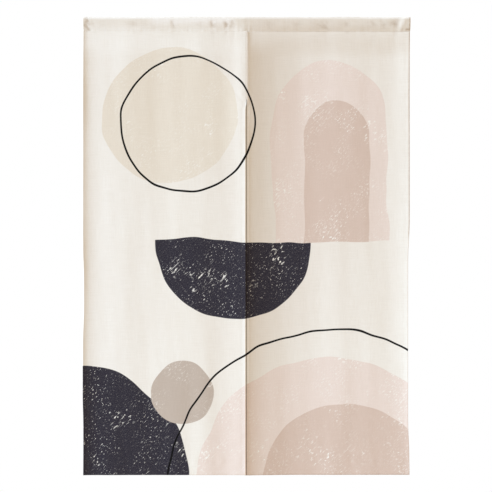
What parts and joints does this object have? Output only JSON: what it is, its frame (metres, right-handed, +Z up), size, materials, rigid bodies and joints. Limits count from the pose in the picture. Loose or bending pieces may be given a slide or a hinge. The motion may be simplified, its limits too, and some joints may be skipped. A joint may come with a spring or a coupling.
{
  "type": "doorway curtain",
  "caption": "Split doorway curtain of printed cloth, with an open rod pocket along its top and its panels sewn together above a centre slit.",
  "frame": {"origin": "middle of the top edge, where the pocket is folded over, midway between its front and its back", "axes": "+Z up along the drop, +X to the right along the top edge as the front is seen, and the front faces -Y"},
  "size_m": [0.8561, 0.0212, 1.1993],
  "materials": {
    "printed_cloth": "matte plain weave of cotton and linen, cream, printed with soft shapes in charcoal, beige, blush and taupe"
  },
  "bodies": {
    "root": {"rod_pocket": "printed_cloth", "left_panel": "printed_cloth", "right_panel": "printed_cloth"}
  },
  "joints": []
}
